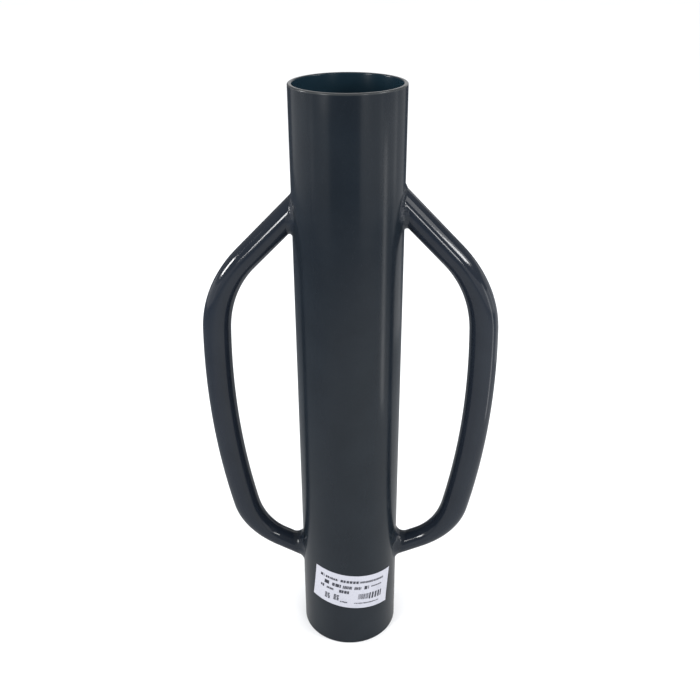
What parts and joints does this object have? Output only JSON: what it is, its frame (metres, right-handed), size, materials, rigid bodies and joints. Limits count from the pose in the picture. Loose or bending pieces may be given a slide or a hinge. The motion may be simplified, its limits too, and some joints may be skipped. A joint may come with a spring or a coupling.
{
  "type": "post driver",
  "caption": "Hand post driver: a long steel tube, open at the top and closed by a welded striking plate at the bottom, with a bent tube handle on each side.",
  "frame": {"origin": "centre of the closed end, on the plane that the driver stands on", "axes": "+Z along the barrel from the closed end to the open mouth, +X towards the right handle, -Y towards the label"},
  "size_m": [0.2512, 0.0892, 0.52],
  "materials": {
    "barrel_paint": "semi-gloss slate grey paint",
    "steel_paint": "semi-gloss slate grey paint",
    "label_paper": "smooth white sticker"
  },
  "bodies": {
    "root": {"barrel_tube": "barrel_paint", "head_plate": "steel_paint", "head_weld": "steel_paint", "left_handle": "steel_paint", "right_handle": "steel_paint", "left_upper_weld": "steel_paint", "left_lower_weld": "steel_paint", "right_upper_weld": "steel_paint", "right_lower_weld": "steel_paint", "label": "label_paper"}
  },
  "joints": []
}
